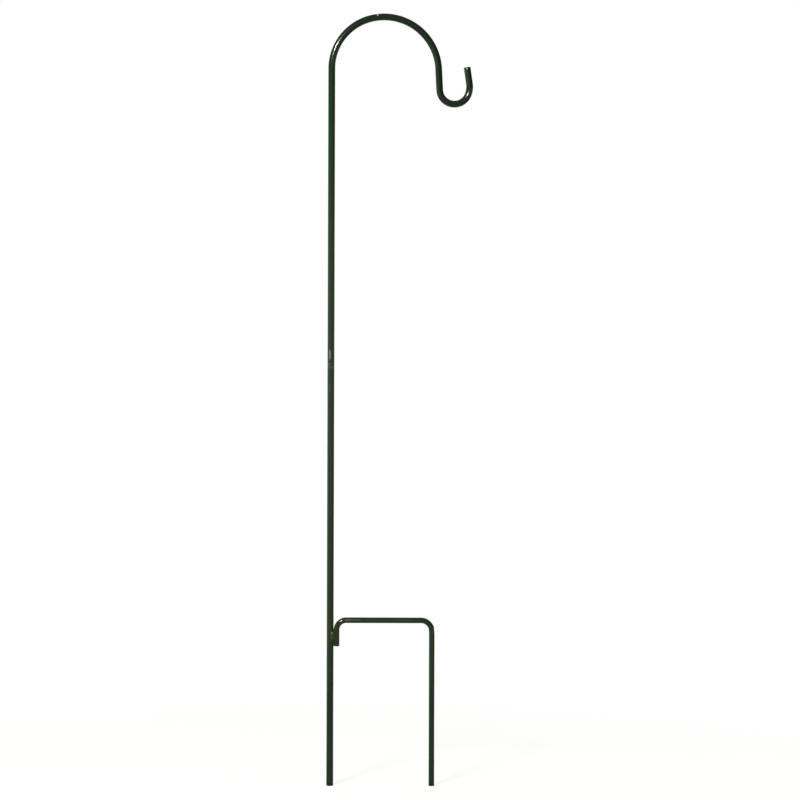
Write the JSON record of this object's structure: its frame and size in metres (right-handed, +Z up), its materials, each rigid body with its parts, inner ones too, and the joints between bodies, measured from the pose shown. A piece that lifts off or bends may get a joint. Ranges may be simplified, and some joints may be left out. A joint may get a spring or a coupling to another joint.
{
  "type": "hanging plant stand",
  "caption": "Garden crook for a hanging basket: a coated steel bar stake in pinned lengths, bent to a hook at the top, with a welded step-in foot bar and spike beside it.",
  "frame": {"origin": "centre of the stake's cut lower end, on the stake's axis", "axes": "+Z up along the stake, +X from the stake towards the hook and the foot bar's outer spike"},
  "size_m": [0.229, 0.0118, 1.2205],
  "materials": {
    "green_coat": "glossy dark green powder coat on mild steel bar",
    "weld_coat": "the same coat, thick over rippled weld beads",
    "pin_steel": "ground mild steel, satin"
  },
  "bodies": {
    "stake": {"stake_bar": "green_coat", "foot_bar": "green_coat", "weld_front": "weld_coat", "weld_rear": "weld_coat"},
    "joining_pin": {"joining_pin": "pin_steel"},
    "crook": {"crook_bar": "green_coat"}
  },
  "joints": [
    {"name": "crook_lift", "type": "slide", "parent": "stake", "child": "joining_pin", "axis": [0, 0, 1], "range_m": [0, 0.032]},
    {"name": "crook_swivel", "type": "hinge", "parent": "joining_pin", "child": "crook", "pos_m": [0, 0, 0.664], "axis": [0, 0, 1], "continuous": true}
  ]
}
